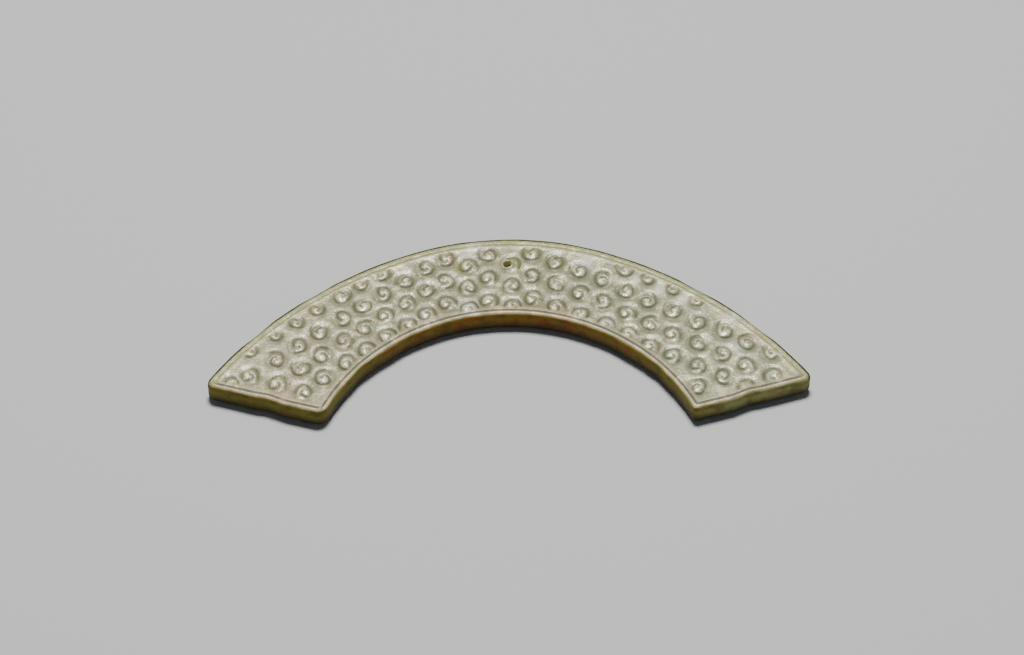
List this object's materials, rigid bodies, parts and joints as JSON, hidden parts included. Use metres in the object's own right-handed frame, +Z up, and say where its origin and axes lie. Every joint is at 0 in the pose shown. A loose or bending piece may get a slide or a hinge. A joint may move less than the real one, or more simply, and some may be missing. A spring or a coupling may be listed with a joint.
{
  "type": "jade huang pendant",
  "caption": "Flat arc-shaped pendant plate of carved jade with a raised rim, staggered bosses with spiral lines and a small drilled suspension hole.",
  "frame": {"origin": "on the underside, at the middle of the plate's box seen from above", "axes": "+X along the plate's length, from one end of the arc to the other; +Y from the open bay to the crown of the arc; +Z up through the thickness, out of the carved face"},
  "size_m": [0.114, 0.0396, 0.0055],
  "materials": {
    "nephrite": "satin"
  },
  "bodies": {
    "root": {"jade_plate": "nephrite"}
  },
  "joints": []
}
